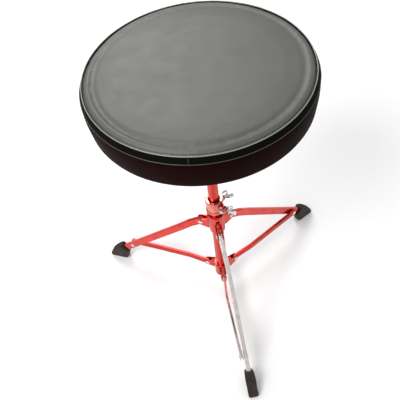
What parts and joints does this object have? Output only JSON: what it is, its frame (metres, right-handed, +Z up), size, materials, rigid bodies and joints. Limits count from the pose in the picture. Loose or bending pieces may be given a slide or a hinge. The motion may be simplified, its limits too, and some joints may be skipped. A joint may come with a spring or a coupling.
{
  "type": "drum throne",
  "caption": "Round padded stool for a drummer on a sliding post, with a folding tripod base of riveted channel legs and braces and rubber feet.",
  "frame": {"origin": "on the floor, at the centre of the part's own box; the post axis is at x = 0, y = +0.0465 m", "axes": "+Z up along the post; -Y towards the front leg; the other two legs point to +X and -X with +Y"},
  "size_m": [0.463, 0.4328, 0.572],
  "materials": {
    "vinyl": "satin",
    "piping": "satin",
    "foam": "matte",
    "plywood": "matte",
    "felt": "matte",
    "red_chrome": "polished",
    "pink_chrome": "polished",
    "chrome": "polished",
    "zinc": "satin",
    "nylon": "matte",
    "rubber": "matte"
  },
  "bodies": {
    "base": {"base_tube": "red_chrome", "tube_end_plug": "nylon", "tube_bushing": "nylon", "height_clamp": "chrome", "clamp_screw": "chrome", "clamp_nut": "chrome", "lower_collar": "pink_chrome", "brace_pivot_rivet_left": "chrome", "brace_pivot_rivet_right": "chrome", "brace_pivot_rivet_front": "chrome"},
    "height_bolt": {"height_wing_bolt": "chrome"},
    "hub": {"leg_hub": "red_chrome", "leg_pivot_rivet_left": "chrome", "leg_pivot_rivet_right": "chrome", "leg_pivot_rivet_front": "chrome"},
    "hub_bolt": {"hub_wing_bolt": "chrome"},
    "post": {"seat_post": "red_chrome"},
    "seat": {"seat_cover_top": "vinyl", "seat_cover_roll": "vinyl", "seat_cover_band": "vinyl", "seat_piping_top": "piping", "seat_piping_low": "piping", "seat_foam": "foam", "seat_board": "plywood", "dust_cover": "felt", "seat_bracket": "chrome", "bracket_screw_1": "zinc", "bracket_screw_2": "zinc", "bracket_screw_3": "zinc", "bracket_screw_4": "zinc"},
    "seat_bolt": {"seat_wing_bolt": "chrome"},
    "left_leg": {"leg_left": "pink_chrome", "foot_left": "rubber", "leg_join_rivet_left": "chrome"},
    "left_brace": {"brace_left": "pink_chrome", "brace_join_rivet_left": "chrome"},
    "right_leg": {"leg_right": "pink_chrome", "foot_right": "rubber", "leg_join_rivet_right": "chrome"},
    "right_brace": {"brace_right": "pink_chrome", "brace_join_rivet_right": "chrome"},
    "front_leg": {"leg_front": "pink_chrome", "foot_front": "rubber", "leg_join_rivet_front": "chrome"},
    "front_brace": {"brace_front": "pink_chrome", "brace_join_rivet_front": "chrome"}
  },
  "joints": [
    {"name": "height_slide", "type": "slide", "parent": "base", "child": "post", "axis": [0, 0, 1], "range_m": [-0.09, 0.06]},
    {"name": "seat_swivel", "type": "hinge", "parent": "post", "child": "seat", "pos_m": [0, 0.04645, 0.49], "axis": [0, 0, 1], "continuous": true},
    {"name": "seat_bolt_turn", "type": "hinge", "parent": "seat", "child": "seat_bolt", "pos_m": [-0.01879, 0.03961, 0.477], "axis": [-0.9397, -0.342, 0], "range_deg": [0, 360]},
    {"name": "height_bolt_turn", "type": "hinge", "parent": "base", "child": "height_bolt", "pos_m": [0.01813, 0.0549, 0.265], "axis": [0.9063, 0.4226, 0], "range_deg": [0, 360]},
    {"name": "hub_slide", "type": "slide", "parent": "base", "child": "hub", "axis": [0, 0, -1], "range_m": [0, 0.0882]},
    {"name": "hub_bolt_turn", "type": "hinge", "parent": "hub", "child": "hub_bolt", "pos_m": [0.0198, 0.04923, 0.226], "axis": [0.9903, 0.1392, 0], "range_deg": [0, 360]},
    {"name": "left_leg_fold", "type": "hinge", "parent": "hub", "child": "left_leg", "pos_m": [-0.02685, 0.06195, 0.203], "axis": [-0.5, -0.866, 0], "range_deg": [0, 30.95]},
    {"name": "left_brace_fold", "type": "hinge", "parent": "base", "child": "left_brace", "pos_m": [-0.02685, 0.06195, 0.055], "axis": [-0.5, -0.866, 0], "range_deg": [0, 65.48]},
    {"name": "right_leg_fold", "type": "hinge", "parent": "hub", "child": "right_leg", "pos_m": [0.02685, 0.06195, 0.203], "axis": [-0.5, 0.866, 0], "range_deg": [0, 30.95]},
    {"name": "right_brace_fold", "type": "hinge", "parent": "base", "child": "right_brace", "pos_m": [0.02685, 0.06195, 0.055], "axis": [-0.5, 0.866, 0], "range_deg": [0, 65.48]},
    {"name": "front_leg_fold", "type": "hinge", "parent": "hub", "child": "front_leg", "pos_m": [0, 0.01545, 0.203], "axis": [1, 0, 0], "range_deg": [0, 30.95]},
    {"name": "front_brace_fold", "type": "hinge", "parent": "base", "child": "front_brace", "pos_m": [0, 0.01545, 0.055], "axis": [1, 0, 0], "range_deg": [0, 65.48]}
  ],
  "couplings": [
    {"joint": "left_leg_fold", "follows": "hub_slide", "rad_per_m": 6.1211},
    {"joint": "left_brace_fold", "follows": "hub_slide", "rad_per_m": 12.955},
    {"joint": "right_leg_fold", "follows": "hub_slide", "rad_per_m": 6.1211},
    {"joint": "right_brace_fold", "follows": "hub_slide", "rad_per_m": 12.955},
    {"joint": "front_leg_fold", "follows": "hub_slide", "rad_per_m": 6.1211},
    {"joint": "front_brace_fold", "follows": "hub_slide", "rad_per_m": 12.955}
  ]
}
